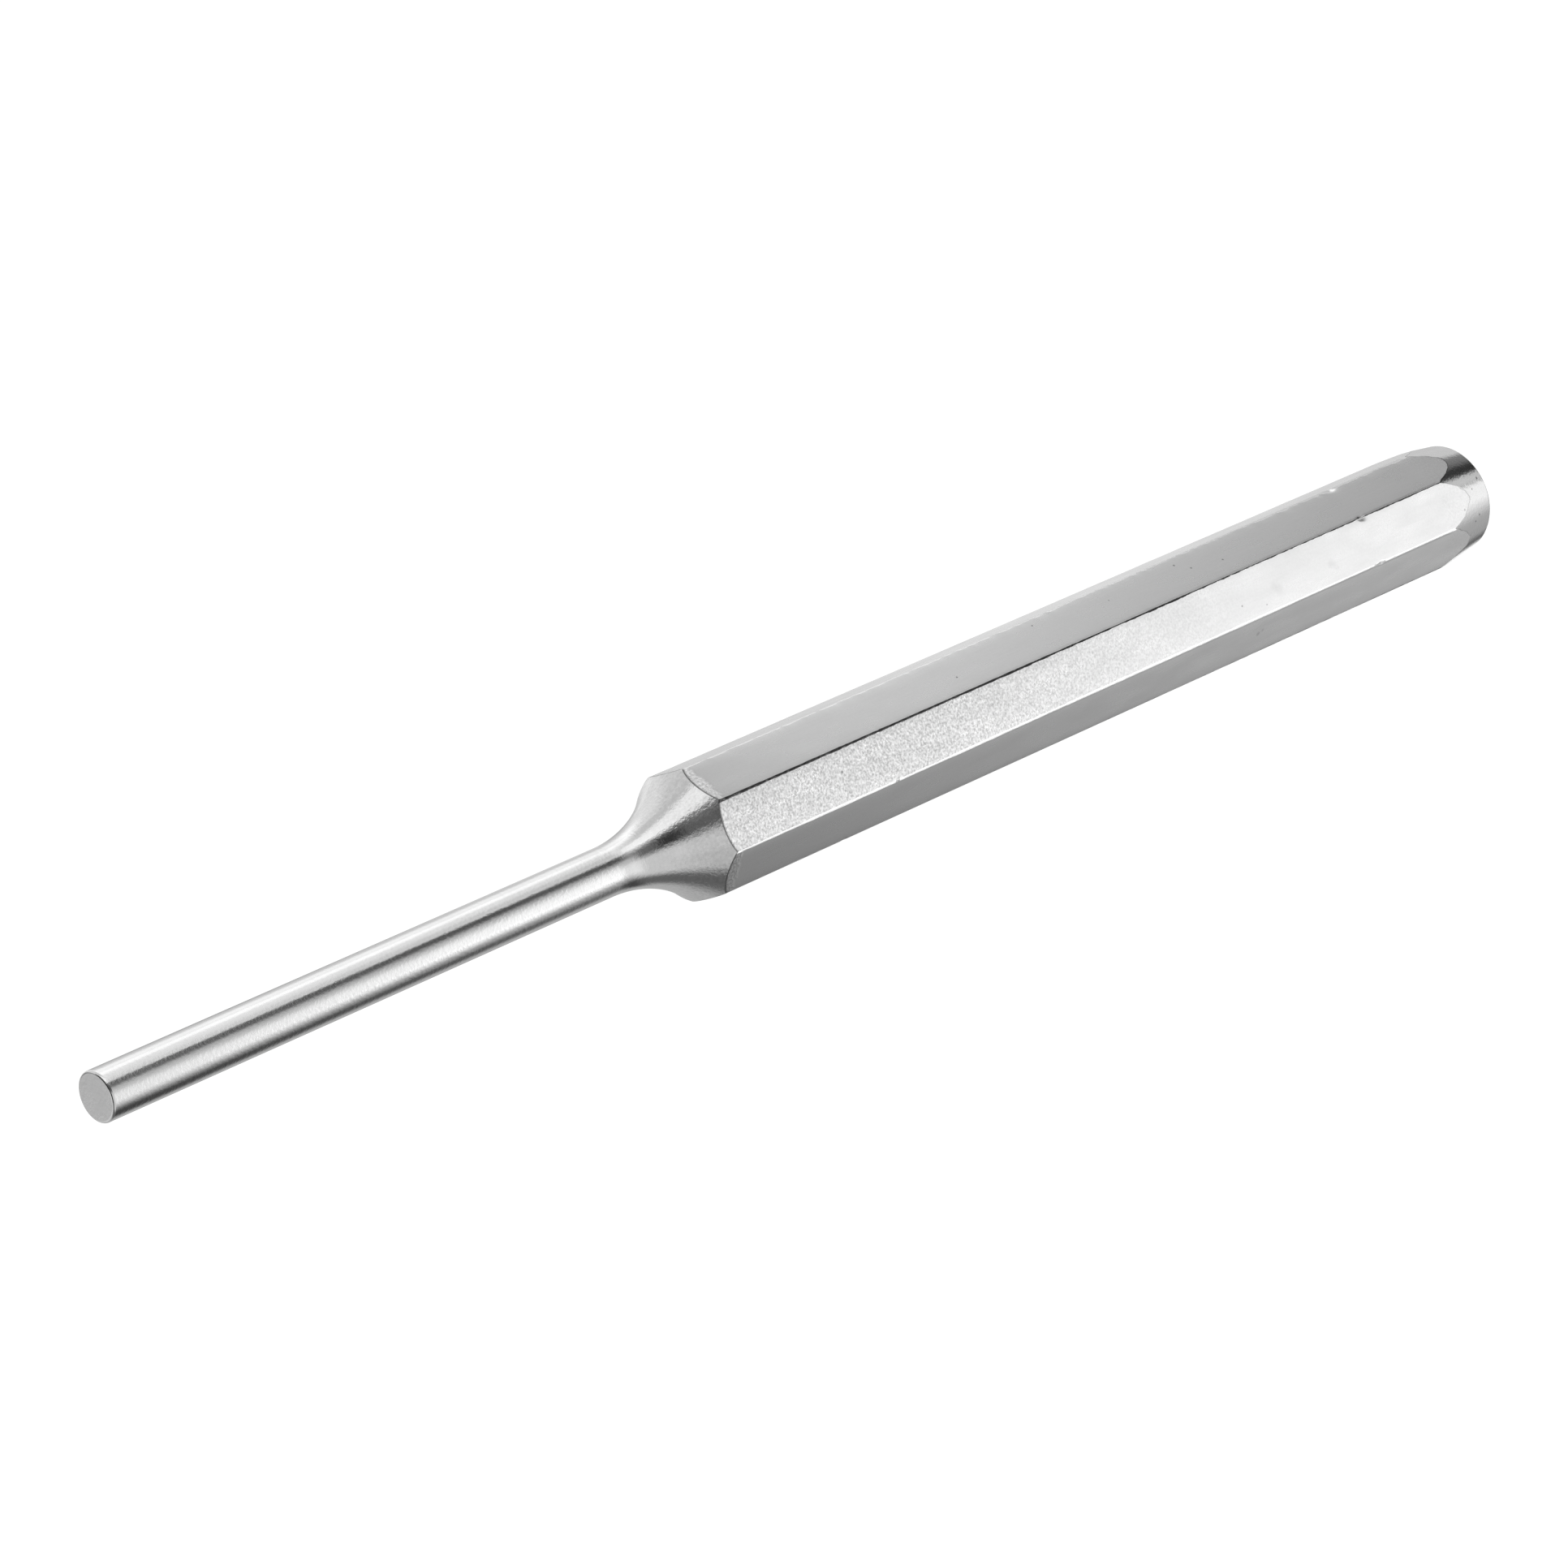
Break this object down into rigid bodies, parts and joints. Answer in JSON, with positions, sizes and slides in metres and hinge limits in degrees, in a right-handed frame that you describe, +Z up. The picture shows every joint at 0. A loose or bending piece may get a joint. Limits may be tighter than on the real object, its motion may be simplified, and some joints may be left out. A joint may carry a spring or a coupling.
{
  "type": "pin punch",
  "caption": "Drive pin punch: octagonal steel shank with a crowned struck end, turned down through a hollow neck to a straight round pin with a flat tip.",
  "frame": {"origin": "middle of the overall length, below the axis, on the shank flat that the tool rests on", "axes": "+X along the tool's axis from the tip to the struck end, +Z up from the resting flat through the axis, +Y square to both"},
  "size_m": [0.15, 0.01, 0.01],
  "materials": {
    "plated_steel": "satin chrome plate over ground and turned tool steel"
  },
  "bodies": {
    "root": {"punch": "plated_steel"}
  },
  "joints": []
}
